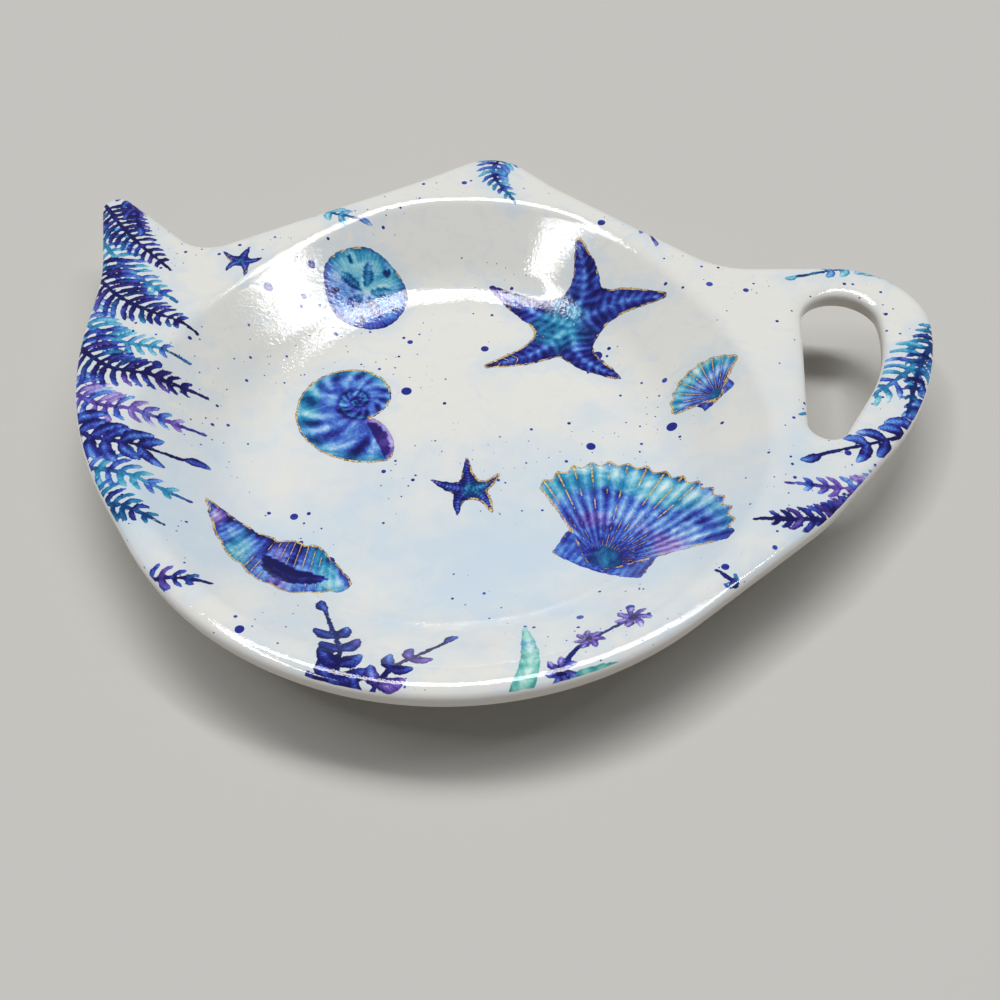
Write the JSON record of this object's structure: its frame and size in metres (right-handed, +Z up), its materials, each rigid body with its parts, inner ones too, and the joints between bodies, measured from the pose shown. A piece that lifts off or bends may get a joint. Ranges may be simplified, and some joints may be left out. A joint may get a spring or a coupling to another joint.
{
  "type": "tea bag rest",
  "caption": "Shallow teapot-shaped dish that a used tea bag rests in, moulded in one piece with a flat rim, spout, lid and open handle, printed and glazed on its upper face.",
  "frame": {"origin": "under the middle of the plan, on the plane that the foot ring stands on", "axes": "+X towards the handle, +Y towards the lid, +Z up out of the well"},
  "size_m": [0.127, 0.1002, 0.0137],
  "materials": {
    "moulding": "glossy white melamine moulding",
    "print": "white ground with a blue and turquoise watercolour print",
    "glaze": "clear high gloss with a faint orange-peel"
  },
  "bodies": {
    "root": {"dish_body": "moulding", "decor_foil": "print", "clear_glaze": "glaze"}
  },
  "joints": []
}
